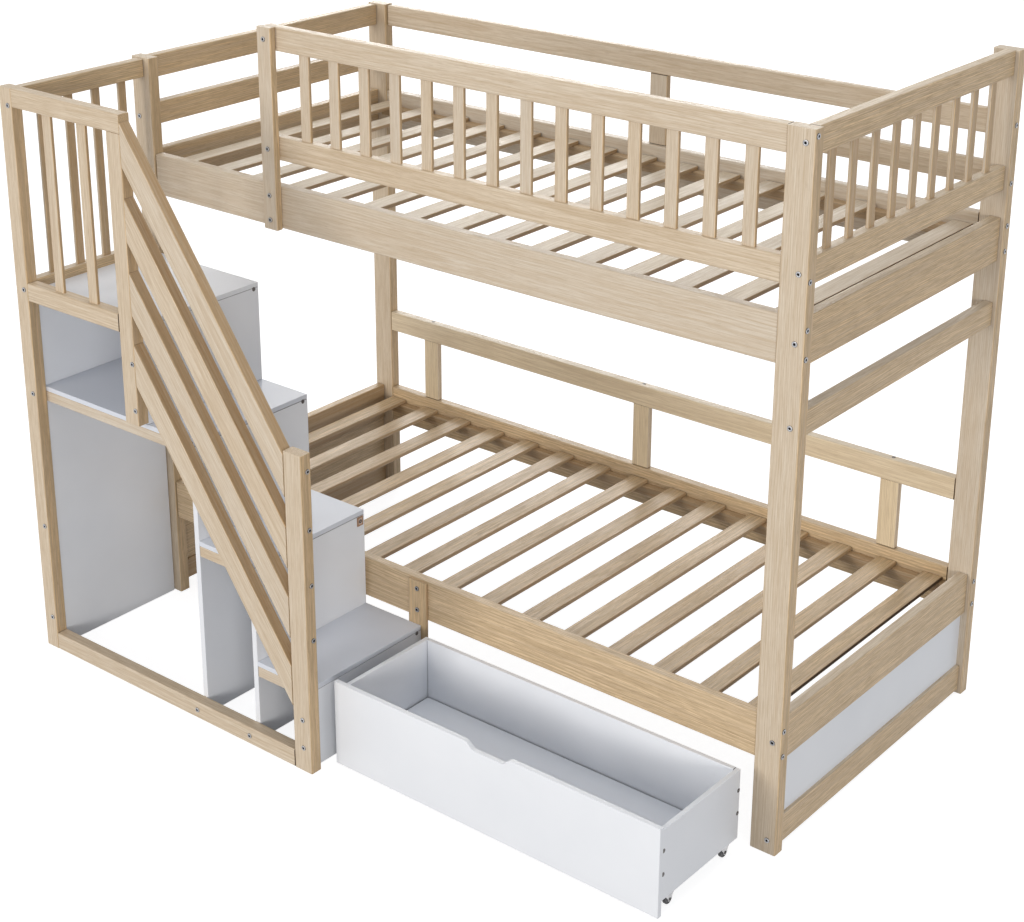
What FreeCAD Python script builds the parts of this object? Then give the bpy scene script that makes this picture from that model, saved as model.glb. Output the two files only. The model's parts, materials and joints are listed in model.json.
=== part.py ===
import FreeCAD, Part
import math
import os

# A wooden bunk bed with a storage staircase in front of its left half and a drawer on
# castors drawn out in front of its right half.  Millimetres, +Z up, X along the bed,
# -Y the front.  The origin is on the floor, in the middle of the plan.

os.makedirs("parts", exist_ok=True)

# ---- bed frame ----
bed_length = 2114.0
bed_width = 969.0
stair_depth = 442.0
tall_post_height = 1752.0
low_post_height = 1601.0
post_width = 69.0
post_depth = 34.0
wood_round = 2.5
thinnest_share = 0.4

rail_thickness = 28.0
side_rail_inset = 5.0
right_end_inset = 10.5
left_end_inset = 7.0
bed_rail_height = 114.0
lower_rail_z = 243.0
upper_rail_drop = 378.5
guard_rail_height = 62.0
low_guard_drop = 3.0
back_guard_thickness = 21.0
back_guard_inset = 2.0
cross_rail_drop = 168.5

right_base_rail_height = 74.0
left_base_rail_height = 62.0
base_rail_z = 11.0
end_panel_thickness = 9.0
end_board_thickness = 18.0

# ---- bases ----
slat_count = 15
slat_width = 56.0
slat_thickness = 11.0
slat_drop = 30.0
slat_right_offset = 81.5
slat_left_offset = 72.5
slat_end_gap = 1.5
cleat_width = 26.0
cleat_height = 30.0
centre_leg_width = 63.0
centre_leg_gap = 16.0
centre_leg_drop = 5.0

# ---- guards ----
baluster_thickness = 9.0
tenon = 8.0
front_baluster_count = 14
front_baluster_width = 34.0
front_baluster_first = 158.6
front_baluster_last = 133.5
end_baluster_count = 9
end_baluster_width = 26.0
end_baluster_margin = 78.5
guard_post_offset = 505.0
guard_post_width = 48.0
guard_post_thickness = 21.0
guard_post_drop = 2.0
guard_rail_setback = 5.0
short_upright_width = 56.0
short_upright_thickness = 18.0
back_upright_shift = 10.0
backrest_z = 553.0
backrest_upright_count = 3
backrest_upright_first = 233.0
backrest_upright_last = 259.0

# ---- staircase ----
stair_post_inset = 5.0
stair_post_width = 47.5
diagonal_depth = 32.0
stair_rail_height = 49.0
stair_mid_rail_z = 1032.0
mid_post_width = 51.0
mid_post_lap = 4.5
mid_post_bottom = 788.0
newel_width = 58.5
newel_height = 870.0
newel_overhang = 20.0
side_board_offset = 28.0
board_thickness = 16.0
tread_thickness = 13.0
first_rise = 227.0
rise = 277.0
nosing_from_left = 1019.5
going = 195.8
top_going = 168.5
stair_back_gap = 4.0
nosing_rail_height = 30.0
nosing_rail_thickness = 18.0
stair_baluster_first = 118.0
stair_baluster_last = 109.5
side_baluster_count = 4
side_baluster_margin = 69.75
stair_guard_inset = 20.0
sill_rebate = 4.0
side_guard_height = 50.0
side_guard_sill = 30.0
diagonal_count = 4
diagonal_width = 65.0
diagonal_angle = 54.48
diagonal_pitch = 190.5
diagonal_top_drop = 18.5

# ---- drawer ----
drawer_stair_gap = 15.0
drawer_post_gap = 5.5
drawer_rail_gap = 3.0
drawer_floor_gap = 6.0
drawer_depth = 326.0
drawer_out = 369.0
drawer_front_thickness = 14.0
drawer_board = 12.0
drawer_left_setback = 18.5
drawer_right_setback = 2.0
drawer_side_z = 43.0
drawer_side_drop = 10.0
drawer_base_z = 57.0
drawer_base_thickness = 5.0
groove_depth = 5.0
board_round = 1.0
scoop_width = 150.0
scoop_flat = 74.0
scoop_depth = 18.0
cut_over = 1.0

# ---- castors ----
wheel_diameter = 28.0
wheel_width = 10.0
wheel_round = 1.5
wheel_recess = 1.0
recess_diameter = 21.0
hub_diameter = 11.0
axle_diameter = 5.0
axle_head_diameter = 8.0
axle_head = 1.2
axle_clearance = 0.05
wheel_side_gap = 0.4
wheel_top_gap = 3.0
castor_plate = 2.0
castor_length = 36.0
castor_eye = 6.0
castor_base_gap = 1.0
castor_front_offset = 68.0
castor_back_offset = 32.0
castor_screw_spread = 22.0

# ---- fasteners ----
bolt_head_diameter = 15.0
bolt_head_height = 2.0
bolt_shank_diameter = 6.0
bolt_hole_clearance = 0.3
bolt_grip = 36.0
board_grip = 24.0
newel_bolt_length = 45.0
socket_across = 6.0
socket_depth = 1.4
end_bolt_inset = 22.5
left_bolt_inset = 19.5
side_bolt_front = 10.0
side_bolt_back = 18.0
bolt_spread = 66.0
leg_bolt_spread = 62.0
base_bolt_rise = 25.0
guard_bolt_shift = 15.5
rail_bolt_edge = 7.0
board_bolt_shift = 2.0
base_rail_bolt_z = 24.5
newel_bolt_depth = 22.0
newel_side_bolts = (824.0, 670.0, 521.0, 371.0)
newel_front_bolts = (147.0, 67.5)
mid_post_bolts = (956.0, 829.0)
mid_post_bolt_inset = 9.0
side_board_bolts = (767.0, 375.0, 95.0)
cam_diameter = 11.0
cam_depth = 7.0
cam_proud = 0.6
cam_drop = 15.0
cam_from_back = 17.0
dowel_diameter = 4.0
dowel_grip = 8.0
screw_head = 1.0
screw_grip = 20.0
backrest_screw_inset = 15.0
plate_width = 22.0
plate_height = 26.0
plate_thickness = 2.5
drawer_cam_heights = (175.0, 113.0)
drawer_cam_offset = 17.0

# ---- places worked out from the sizes above ----
left = -bed_length / 2
right = bed_length / 2
stair_front = -(bed_width + stair_depth) / 2
front = stair_front + stair_depth
back = front + bed_width
upper_rail_z = low_post_height - upper_rail_drop
upper_rail_top = upper_rail_z + bed_rail_height
lower_rail_top = lower_rail_z + bed_rail_height
inner_left = left + post_width
inner_right = right - post_width
inner_front = front + post_depth
inner_back = back - post_depth
side_rail_front = (front + side_rail_inset, front + side_rail_inset + rail_thickness)
side_rail_back = (back - side_rail_inset - rail_thickness, back - side_rail_inset)
end_rail_right = (right - right_end_inset - rail_thickness, right - right_end_inset)
end_rail_left = (left + left_end_inset, left + left_end_inset + rail_thickness)
between_posts_x = (inner_left, inner_right)
between_posts_y = (inner_front, inner_back)
tall_guard_z = tall_post_height - guard_rail_height
low_guard_z = low_post_height - low_guard_drop - guard_rail_height
guard_lower_z = (upper_rail_top + low_guard_z - guard_rail_height) / 2
cross_rail_z = upper_rail_z - cross_rail_drop

pieces = {}
bolts = []


def add(node, *solids):
    pieces.setdefault(node, []).extend(solids)


def block(x, y, z, along="", radius=wood_round):
    # a box between two corners; the edges that run along the named axis are rounded
    low = FreeCAD.Vector(x[0], y[0], z[0])
    size = (x[1] - x[0], y[1] - y[0], z[1] - z[0])
    box = Part.makeBox(size[0], size[1], size[2], low)
    if not along:
        return box
    axis = "xyz".index(along)
    thin = min(size[:axis] + size[axis + 1:])
    long_edges = []
    for edge in box.Edges:
        run = edge.Vertexes[1].Point - edge.Vertexes[0].Point
        if abs(abs(run[axis]) - size[axis]) < 1e-6:
            long_edges.append(edge)
    return box.makeFillet(min(radius, thinnest_share * thin), long_edges)


def span(start, length):
    return (start, start + length)


def about(centre, width):
    return (centre - width / 2, centre + width / 2)


def spread(first, last, count):
    # evenly spaced centres, the first and the last included
    return [first + (last - first) * index / (count - 1) for index in range(count)]


def cylinder(point, direction, diameter, length):
    return Part.makeCylinder(diameter / 2, length, FreeCAD.Vector(*point), FreeCAD.Vector(*direction))


def bolt(point, inward, length, nodes):
    # a socket bolt whose head lies on the face at this point; the pieces it passes are drilled
    bolts.append((FreeCAD.Vector(*point), FreeCAD.Vector(*inward), length, nodes))


def make_bolt(point, inward, length):
    outward = inward * -1.0
    head = Part.makeCylinder(bolt_head_diameter / 2, bolt_head_height, point, outward)
    heights = [(edge.CenterOfMass - point).dot(outward) for edge in head.Edges]
    rim = [edge for edge, height in zip(head.Edges, heights) if abs(height - bolt_head_height) < 1e-6]
    head = head.makeFillet(thinnest_share * bolt_head_height, rim)
    shank = Part.makeCylinder(bolt_shank_diameter / 2, length, point, inward)
    turn = FreeCAD.Rotation(FreeCAD.Vector(0, 0, 1), outward)
    corners = []
    for step in range(7):
        angle = math.radians(60 * step)
        corner = FreeCAD.Vector(math.cos(angle), math.sin(angle), 0) * (socket_across / math.sqrt(3))
        corners.append(point + turn.multVec(corner) + outward * (bolt_head_height - socket_depth))
    socket = Part.Face(Part.makePolygon(corners)).extrude(outward * (2 * socket_depth))
    return head.fuse(shank).cut(socket).removeSplitter()


def drill(node, hole):
    for index, solid in enumerate(pieces[node]):
        if solid.BoundBox.intersect(hole.BoundBox):
            pieces[node][index] = solid.cut(hole)


# ---- posts and bed rails ----
left_post_x = (left, inner_left)
right_post_x = (inner_right, right)
front_post_y = (front, inner_front)
back_post_y = (inner_back, back)
add("post_front_right", block(right_post_x, front_post_y, (0, tall_post_height), "z"))
add("post_back_right", block(right_post_x, back_post_y, (0, tall_post_height), "z"))
add("post_front_left", block(left_post_x, front_post_y, (0, low_post_height), "z"))
add("post_back_left", block(left_post_x, back_post_y, (0, low_post_height), "z"))

slat_room = bed_length - slat_right_offset - slat_left_offset
slat_pitch = (slat_room - slat_width) / (slat_count - 1)
for bunk, rail_z in (("lower", lower_rail_z), ("upper", upper_rail_z)):
    rail_height = span(rail_z, bed_rail_height)
    add(bunk + "_side_rail_front", block(between_posts_x, side_rail_front, rail_height, "x"))
    add(bunk + "_side_rail_back", block(between_posts_x, side_rail_back, rail_height, "x"))
    add(bunk + "_end_rail_right", block(end_rail_right, between_posts_y, rail_height, "y"))
    add(bunk + "_end_rail_left", block(end_rail_left, between_posts_y, rail_height, "y"))

    slat_top = rail_z + bed_rail_height - slat_drop
    slat_bottom = slat_top - slat_thickness
    cleat_z = span(slat_bottom - cleat_height, cleat_height)
    add("slat_cleats", block(between_posts_x, span(side_rail_front[1], cleat_width), cleat_z, "x"))
    cleat_back = span(side_rail_back[0] - cleat_width, cleat_width)
    add("slat_cleats", block(between_posts_x, cleat_back, cleat_z, "x"))
    slat_y = (side_rail_front[1] + slat_end_gap, side_rail_back[0] - slat_end_gap)
    for index in range(slat_count):
        slat_right = right - slat_right_offset - index * slat_pitch
        slat_x = (slat_right - slat_width, slat_right)
        add(bunk + "_slats", block(slat_x, slat_y, (slat_bottom, slat_top), "y"))

# ---- ends: the cross rail, the base rails and the panels set between the rails ----
add("right_cross_rail", block(end_rail_right, between_posts_y, span(cross_rail_z, guard_rail_height), "y"))
right_base_z = span(base_rail_z, right_base_rail_height)
left_base_z = span(base_rail_z, left_base_rail_height)
add("right_base_rail", block(end_rail_right, between_posts_y, right_base_z, "y"))
add("left_base_rail", block(end_rail_left, between_posts_y, left_base_z, "y"))
right_panel_x = about(sum(end_rail_right) / 2, end_panel_thickness)
left_board_x = about(sum(end_rail_left) / 2, end_board_thickness)
add("right_end_panel", block(right_panel_x, between_posts_y, (right_base_z[1], lower_rail_z)))
add("left_end_board", block(left_board_x, between_posts_y, (left_base_z[1], lower_rail_z), "y", 1.0))

# ---- guards of the upper bunk ----
low_guard_span = span(guard_lower_z, guard_rail_height)
for node, rail_x, top_z in (
        ("right_guard_rails", end_rail_right, tall_guard_z),
        ("left_guard_rails", end_rail_left, low_guard_z)):
    add(node, block(rail_x, between_posts_y, low_guard_span, "y"))
    add(node, block(rail_x, between_posts_y, span(top_z, guard_rail_height), "y"))

guard_post_x = span(left + guard_post_offset, guard_post_width)
guard_post_y = (side_rail_front[0] - guard_post_thickness, side_rail_front[0])
guard_post_z = (upper_rail_z - guard_post_drop, tall_post_height)
add("front_guard_post", block(guard_post_x, guard_post_y, guard_post_z, "z"))
front_guard_x = (guard_post_x[0] + guard_rail_setback, inner_right)
add("front_guard_rails", block(front_guard_x, side_rail_front, low_guard_span, "x"))
add("front_guard_rails", block(front_guard_x, side_rail_front, span(tall_guard_z, guard_rail_height), "x"))

tall_baluster_z = (low_guard_span[1] - tenon, tall_guard_z + tenon)
front_baluster_y = about(sum(side_rail_front) / 2, baluster_thickness)
last_baluster = guard_post_x[0] + front_baluster_last
for centre in spread(right - front_baluster_first, last_baluster, front_baluster_count):
    baluster_x = about(centre, front_baluster_width)
    add("front_guard_balusters", block(baluster_x, front_baluster_y, tall_baluster_z, "z"))

end_baluster_x = about(sum(end_rail_right) / 2, baluster_thickness)
end_places = (inner_front + end_baluster_margin, inner_back - end_baluster_margin)
for centre in spread(end_places[0], end_places[1], end_baluster_count):
    baluster_y = about(centre, end_baluster_width)
    add("right_guard_balusters", block(end_baluster_x, baluster_y, tall_baluster_z, "z"))

back_guard_y = span(back - back_guard_inset - back_guard_thickness, back_guard_thickness)
low_top_span = span(low_guard_z, guard_rail_height)
add("back_guard_rails", block(between_posts_x, back_guard_y, low_guard_span, "x"))
add("back_guard_rails", block(between_posts_x, back_guard_y, low_top_span, "x"))
back_upright_x = about((left + right) / 2 + back_upright_shift, short_upright_width)
back_upright_y = span(back_guard_y[1] - short_upright_thickness, short_upright_thickness)
add("back_guard_uprights", block(back_upright_x, back_upright_y, (upper_rail_top, low_guard_span[0]), "z"))
add("back_guard_uprights", block(back_upright_x, back_upright_y, (low_guard_span[1], low_top_span[0]), "z"))

# ---- backrest behind the lower bunk ----
backrest_span = span(backrest_z, guard_rail_height)
add("backrest_rail", block(between_posts_x, side_rail_back, backrest_span, "x"))
backrest_upright_y = about(sum(side_rail_back) / 2, short_upright_thickness)
backrest_ends = (left + backrest_upright_first, right - backrest_upright_last)
backrest_centres = spread(backrest_ends[0], backrest_ends[1], backrest_upright_count)
for centre in backrest_centres:
    upright_x = about(centre, short_upright_width)
    add("backrest_uprights", block(upright_x, backrest_upright_y, (lower_rail_top, backrest_span[0]), "z"))

# ---- staircase: the front frame ----
stair_post_y = span(stair_front, post_depth)
outer_post_x = span(left + stair_post_inset, stair_post_width)
nosings = [left + nosing_from_left - index * going for index in range(3)]
nosings.append(nosings[2] - top_going)
mid_post_x = (nosings[3] + mid_post_lap - mid_post_width, nosings[3] + mid_post_lap)
newel_x = span(nosings[0] + newel_overhang - newel_width, newel_width)
stair_top_z = (low_post_height - stair_rail_height, low_post_height)
stair_mid_z = span(stair_mid_rail_z, stair_rail_height)
add("stair_outer_post", block(outer_post_x, stair_post_y, (0, low_post_height), "z"))
add("stair_mid_post", block(mid_post_x, stair_post_y, (mid_post_bottom, stair_top_z[0]), "z"))
add("stair_newel", block(newel_x, stair_post_y, (0, newel_height), "z"))
add("stair_base_rail", block((outer_post_x[1], newel_x[0]), stair_post_y, (0, stair_rail_height), "x"))
add("stair_top_rail", block((outer_post_x[1], mid_post_x[1]), stair_post_y, stair_top_z, "x"))
add("stair_mid_rail", block((outer_post_x[1], mid_post_x[0]), stair_post_y, stair_mid_z, "x"))

stair_baluster_y = about(sum(stair_post_y) / 2, baluster_thickness)
stair_baluster_z = (stair_mid_z[1] - tenon, stair_top_z[0] + tenon)
stair_baluster_places = (outer_post_x[1] + stair_baluster_first, mid_post_x[0] - stair_baluster_last)
for centre in stair_baluster_places:
    baluster_x = about(centre, front_baluster_width)
    add("stair_front_balusters", block(baluster_x, stair_baluster_y, stair_baluster_z, "z"))

# ---- staircase: the slanted guard slats between the middle post and the newel ----
slant = math.radians(diagonal_angle)
slat_face = diagonal_width / math.cos(slant)
run = newel_x[0] - mid_post_x[1]
fall = math.tan(slant) * run
for index in range(diagonal_count):
    top_z = low_post_height - diagonal_top_drop - index * diagonal_pitch
    corners = [
        FreeCAD.Vector(mid_post_x[1], stair_front, top_z),
        FreeCAD.Vector(newel_x[0], stair_front, top_z - fall),
        FreeCAD.Vector(newel_x[0], stair_front, top_z - fall - slat_face),
        FreeCAD.Vector(mid_post_x[1], stair_front, top_z - slat_face),
    ]
    slat = Part.Face(Part.makePolygon(corners + corners[:1])).extrude(FreeCAD.Vector(0, diagonal_depth, 0))
    slanted = [edge for edge in slat.Edges if edge.Length > run]
    add("stair_diagonals", slat.makeFillet(wood_round, slanted))

# ---- staircase: the white boards ----
board_y = (stair_post_y[1], front - stair_back_gap)
tread_tops = [first_rise + index * rise for index in range(4)]
side_board_x = span(left + side_board_offset, board_thickness)
sill_z = tread_tops[3] - sill_rebate
add("stair_side_board", block(side_board_x, board_y, (0, sill_z)))
risers = []
for index, nosing in enumerate(nosings):
    riser_foot = tread_tops[2] if index == 3 else 0
    riser_x = (nosing - board_thickness, nosing)
    risers.append(riser_x)
    add("stair_risers", block(riser_x, board_y, (riser_foot, tread_tops[index] - tread_thickness)))
for index, nosing in enumerate(nosings):
    node = "stair_platform" if index == 3 else "stair_tread_%d" % (index + 1)
    inner_end = nosings[index + 1] if index < 2 else side_board_x[1]
    tread_z = (tread_tops[index] - tread_thickness, tread_tops[index])
    add(node, block((inner_end, nosing), board_y, tread_z, "y", board_round))
    if index < 3:
        rail_x = (inner_end, risers[index][0])
        rail_y = span(board_y[0], nosing_rail_thickness)
        add("stair_nosing_rails", block(rail_x, rail_y, (tread_z[0] - nosing_rail_height, tread_z[0])))

# ---- staircase: the side guard between the outer post and the bed ----
side_guard_x = span(left + stair_guard_inset, rail_thickness)
side_guard_y = (stair_post_y[1], front)
side_sill = span(sill_z, side_guard_sill)
side_top_z = low_post_height - low_guard_drop - side_guard_height
side_top = span(side_top_z, side_guard_height)
add("stair_side_guard_rails", block(side_guard_x, side_guard_y, side_sill, "y"))
add("stair_side_guard_rails", block(side_guard_x, side_guard_y, side_top, "y"))
sill = pieces["stair_side_guard_rails"][0]
pieces["stair_platform"] = [solid.cut(sill) for solid in pieces["stair_platform"]]
side_baluster_x = about(sum(side_guard_x) / 2, baluster_thickness)
side_baluster_z = (side_sill[1] - tenon, side_top[0] + tenon)
side_places = (side_guard_y[0] + side_baluster_margin, side_guard_y[1] - side_baluster_margin)
for centre in spread(side_places[0], side_places[1], side_baluster_count):
    baluster_y = about(centre, end_baluster_width)
    add("stair_side_balusters", block(side_baluster_x, baluster_y, side_baluster_z, "z"))

# ---- mortises: each rail is cut to the tenons of its balusters ----
for rails, balusters in (
        ("front_guard_rails", "front_guard_balusters"),
        ("right_guard_rails", "right_guard_balusters"),
        ("stair_side_guard_rails", "stair_side_balusters"),
        ("stair_mid_rail", "stair_front_balusters"),
        ("stair_top_rail", "stair_front_balusters")):
    tenons = Part.makeCompound(pieces[balusters])
    pieces[rails] = [rail.cut(tenons) for rail in pieces[rails]]

# ---- drawer: a front with a finger scoop, two sides, a back and a base in grooves ----
drawer_x = (newel_x[1] + drawer_stair_gap, inner_right - drawer_post_gap)
drawer_top = lower_rail_z - drawer_rail_gap
drawer_front_y = span(front - drawer_out, drawer_front_thickness)
drawer_back = front - drawer_out + drawer_depth
drawer_side_y = (drawer_front_y[1], drawer_back)
drawer_side_span = (drawer_side_z, drawer_top - drawer_side_drop)
left_side_x = span(drawer_x[0] + drawer_left_setback, drawer_board)
right_side_x = span(drawer_x[1] - drawer_right_setback - drawer_board, drawer_board)
drawer_back_y = (drawer_back - drawer_board, drawer_back)
drawer_hollow_x = (left_side_x[1], right_side_x[0])
base_x = (drawer_hollow_x[0] - groove_depth, drawer_hollow_x[1] + groove_depth)
base_y = (drawer_front_y[1] - groove_depth, drawer_back_y[0] + groove_depth)
drawer_base = block(base_x, base_y, span(drawer_base_z, drawer_base_thickness))

scoop_centre = sum(drawer_x) / 2
scoop_bend = (scoop_width - scoop_flat) / 4
scoop_radius = (scoop_depth ** 2 / 4 + scoop_bend ** 2) / scoop_depth
scoop_angle = math.atan2(scoop_depth / 2, scoop_bend)


def scoop_point(offset, depth):
    return FreeCAD.Vector(scoop_centre + offset, drawer_front_y[0] - cut_over, drawer_top - depth)


def scoop_side(sign):
    # an S of two equal arcs from the top edge down to the flat of the scoop
    start = scoop_point(sign * scoop_width / 2, 0)
    middle = scoop_point(sign * (scoop_flat / 2 + scoop_bend), scoop_depth / 2)
    end = scoop_point(sign * scoop_flat / 2, scoop_depth)
    across = scoop_radius * math.sin(scoop_angle)
    down = scoop_radius * (1 - math.cos(scoop_angle))
    step = FreeCAD.Vector(-sign * across, 0, -down)
    return [Part.Arc(start, start + step, middle).toShape(), Part.Arc(middle, end - step, end).toShape()]


scoop_lines = Part.makePolygon([
    scoop_point(-scoop_width / 2, 0),
    scoop_point(-scoop_width / 2, -cut_over),
    scoop_point(scoop_width / 2, -cut_over),
    scoop_point(scoop_width / 2, 0),
]).Edges
scoop_floor = Part.makePolygon([scoop_point(sign * scoop_flat / 2, scoop_depth) for sign in (-1, 1)])
scoop_edges = scoop_lines + scoop_side(-1) + scoop_side(1) + scoop_floor.Edges
scoop_wire = Part.Wire(Part.__sortEdges__(scoop_edges))
scoop = Part.Face(scoop_wire).extrude(FreeCAD.Vector(0, drawer_front_thickness + 2 * cut_over, 0))
drawer_panel = block(drawer_x, drawer_front_y, (drawer_floor_gap, drawer_top), "x", board_round)
add("drawer_front", drawer_panel.cut(scoop).cut(drawer_base))
for side_x in (left_side_x, right_side_x):
    add("drawer_sides", block(side_x, drawer_side_y, drawer_side_span, "y", board_round).cut(drawer_base))
add("drawer_back", block(drawer_hollow_x, drawer_back_y, drawer_side_span, "x", board_round).cut(drawer_base))
add("drawer_base", drawer_base)

# ---- the leg under the middle of the bed, beside the drawer ----
leg_x = (drawer_x[0] - centre_leg_gap - centre_leg_width, drawer_x[0] - centre_leg_gap)
leg_y = (front - stair_back_gap, side_rail_front[0])
leg_top = lower_rail_top - centre_leg_drop
add("centre_leg", block(leg_x, leg_y, (0, leg_top), "z"))

# ---- castors: three welded plates hold an axle, and a wheel turns on it under each side ----
wheel_radius = wheel_diameter / 2
bridge_z = span(wheel_diameter + wheel_top_gap, castor_plate)
flange_top = drawer_base_z - castor_base_gap
castor_width = 2 * castor_plate + wheel_width + 2 * wheel_side_gap


def cheek(x, centre_y, top_z):
    # a plate across X, straight down to the bridge and then narrowing to the eye round the axle
    half = castor_length / 2
    outline = [
        (-half, top_z), (half, top_z), (half, bridge_z[0]),
        (castor_eye, wheel_radius), (-castor_eye, wheel_radius), (-half, bridge_z[0]), (-half, top_z)]
    corners = [FreeCAD.Vector(x[0], centre_y + place[0], place[1]) for place in outline]
    plate = Part.Face(Part.makePolygon(corners)).extrude(FreeCAD.Vector(x[1] - x[0], 0, 0))
    eye = cylinder((x[0], centre_y, wheel_radius), (1, 0, 0), 2 * castor_eye, x[1] - x[0])
    return plate.fuse(eye).removeSplitter()


def screw(point, inward, head_diameter, head_height, shank_length):
    # a flat head proud of the face at this point, and its shank going in
    outward = [-value for value in inward]
    head = cylinder(point, outward, head_diameter, head_height)
    return head.fuse(cylinder(point, inward, dowel_diameter, shank_length)).removeSplitter()


castor_front = drawer_front_y[0] + castor_front_offset
castor_back = drawer_back - castor_back_offset
for side, face_x, inward in (("left", left_side_x[1], 1), ("right", right_side_x[0], -1)):
    for end, castor_y in (("front", castor_front), ("back", castor_back)):
        outer_plate = sorted((face_x, face_x + inward * castor_plate))
        inner_face = face_x + inward * castor_width
        inner_plate = sorted((inner_face - inward * castor_plate, inner_face))
        bridge_x = (min(outer_plate[1], inner_plate[1]), max(outer_plate[0], inner_plate[0]))
        axle_start = face_x - inward * axle_head
        axle = cylinder((face_x, castor_y, wheel_radius), (inward, 0, 0), axle_diameter, castor_width)
        for head_x in (axle_start, face_x + inward * castor_width):
            head_place = (head_x, castor_y, wheel_radius)
            axle = axle.fuse(cylinder(head_place, (inward, 0, 0), axle_head_diameter, axle_head))
        add("drawer_fasteners", axle.removeSplitter())
        plates = [
            cheek(outer_plate, castor_y, flange_top),
            cheek(inner_plate, castor_y, bridge_z[1]),
            block(bridge_x, about(castor_y, castor_length), bridge_z),
        ]
        screws = []
        for shift in (-0.5, 0.5):
            screw_y = castor_y + shift * castor_screw_spread
            screw_place = (face_x + inward * castor_plate, screw_y, (drawer_side_z + flange_top) / 2)
            screws.append(screw(screw_place, (-inward, 0, 0), axle_head_diameter, screw_head, drawer_board))
        add("drawer_fasteners", *screws)
        add("castor_brackets", *[plate.cut(axle).cut(Part.makeCompound(screws)) for plate in plates])
        for solid in screws:
            drill("drawer_sides", solid)

        wheel_start = face_x + inward * (castor_plate + wheel_side_gap)
        wheel_centre = (wheel_start, castor_y, wheel_radius)
        wheel = cylinder(wheel_centre, (inward, 0, 0), wheel_diameter, wheel_width)
        rims = [edge for edge in wheel.Edges if len(edge.Vertexes) == 1]
        wheel = wheel.makeFillet(wheel_round, rims)
        for recess_x in (wheel_start, wheel_start + inward * (wheel_width - wheel_recess)):
            recess_place = (recess_x, castor_y, wheel_radius)
            ring = cylinder(recess_place, (inward, 0, 0), recess_diameter, wheel_recess)
            wheel = wheel.cut(ring.cut(cylinder(recess_place, (inward, 0, 0), hub_diameter, wheel_recess)))
        bore = axle_diameter + 2 * axle_clearance
        wheel = wheel.cut(cylinder(wheel_centre, (inward, 0, 0), bore, wheel_width))
        add("wheel_%s_%s" % (end, side), wheel)

# ---- drawer: dark heads on the sides, over dowels to the front and screws to the back ----
for side_x, inward in ((left_side_x, 1), (right_side_x, -1)):
    outer_face = side_x[0] if inward == 1 else side_x[1]
    for height in drawer_cam_heights:
        cam_y = drawer_front_y[1] + drawer_cam_offset
        cam_place = (outer_face - inward * cam_proud, cam_y, height)
        cam = cylinder(cam_place, (inward, 0, 0), cam_diameter, cam_depth)
        dowel_length = drawer_cam_offset + dowel_grip
        dowel = cylinder((sum(side_x) / 2, cam_y, height), (0, -1, 0), dowel_diameter, dowel_length)
        cam = cam.fuse(dowel).removeSplitter()
        back_screw_place = (outer_face, sum(drawer_back_y) / 2, height)
        back_shank = drawer_board + screw_grip
        back_screw = screw(back_screw_place, (inward, 0, 0), cam_diameter, cam_proud, back_shank)
        add("drawer_fasteners", cam, back_screw)
        for node in ("drawer_front", "drawer_sides", "drawer_back"):
            drill(node, cam)
            drill(node, back_screw)

# ---- bolts: the sides of the frame ----
end_rail_centres = [lower_rail_z + bed_rail_height / 2, upper_rail_z + bed_rail_height / 2]
low_guard_centre = guard_lower_z + guard_rail_height / 2
cross_rail_centre = cross_rail_z + guard_rail_height / 2
tall_guard_centre = tall_guard_z + guard_rail_height / 2
low_top_centre = low_guard_z + guard_rail_height / 2
base_bolt_z = base_rail_z + base_bolt_rise
post_bolt_length = post_depth + bolt_grip
for post, face_y, inward in (("front", front, 1), ("back", back, -1)):
    heights = [base_bolt_z] + end_rail_centres + [low_guard_centre]
    right_heights = heights + [cross_rail_centre, tall_guard_centre]
    left_heights = heights + ([low_top_centre] if post == "back" else [])
    for z in right_heights:
        nodes = ["post_%s_right" % post, "right_base_rail", "lower_end_rail_right", "upper_end_rail_right",
                 "right_guard_rails", "right_cross_rail"]
        bolt((right - end_bolt_inset, face_y, z), (0, inward, 0), post_bolt_length, nodes)
    for z in left_heights:
        nodes = ["post_%s_left" % post, "left_base_rail", "lower_end_rail_left", "upper_end_rail_left",
                 "left_guard_rails"]
        bolt((left + left_bolt_inset, face_y, z), (0, inward, 0), post_bolt_length, nodes)

# ---- bolts: the ends of the long rails ----
side_bolt_length = post_width + bolt_grip
rail_bolts = [centre + shift * bolt_spread for centre in end_rail_centres for shift in (-0.5, 0.5)]
for end, face_x, inward in (("right", right, -1), ("left", left, 1)):
    front_heights = list(rail_bolts)
    if end == "right":
        front_heights += [tall_guard_centre + guard_bolt_shift, low_guard_centre - guard_bolt_shift]
    back_heights = rail_bolts + [low_top_centre, low_guard_centre - guard_bolt_shift]
    for side, bolt_y, heights in (
            ("front", front + side_bolt_front, front_heights), ("back", back - side_bolt_back, back_heights)):
        nodes = ["post_%s_%s" % (side, end), "lower_side_rail_" + side, "upper_side_rail_" + side,
                 side + "_guard_rails"]
        for z in heights:
            bolt((face_x, bolt_y, z), (inward, 0, 0), side_bolt_length, nodes)

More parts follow.
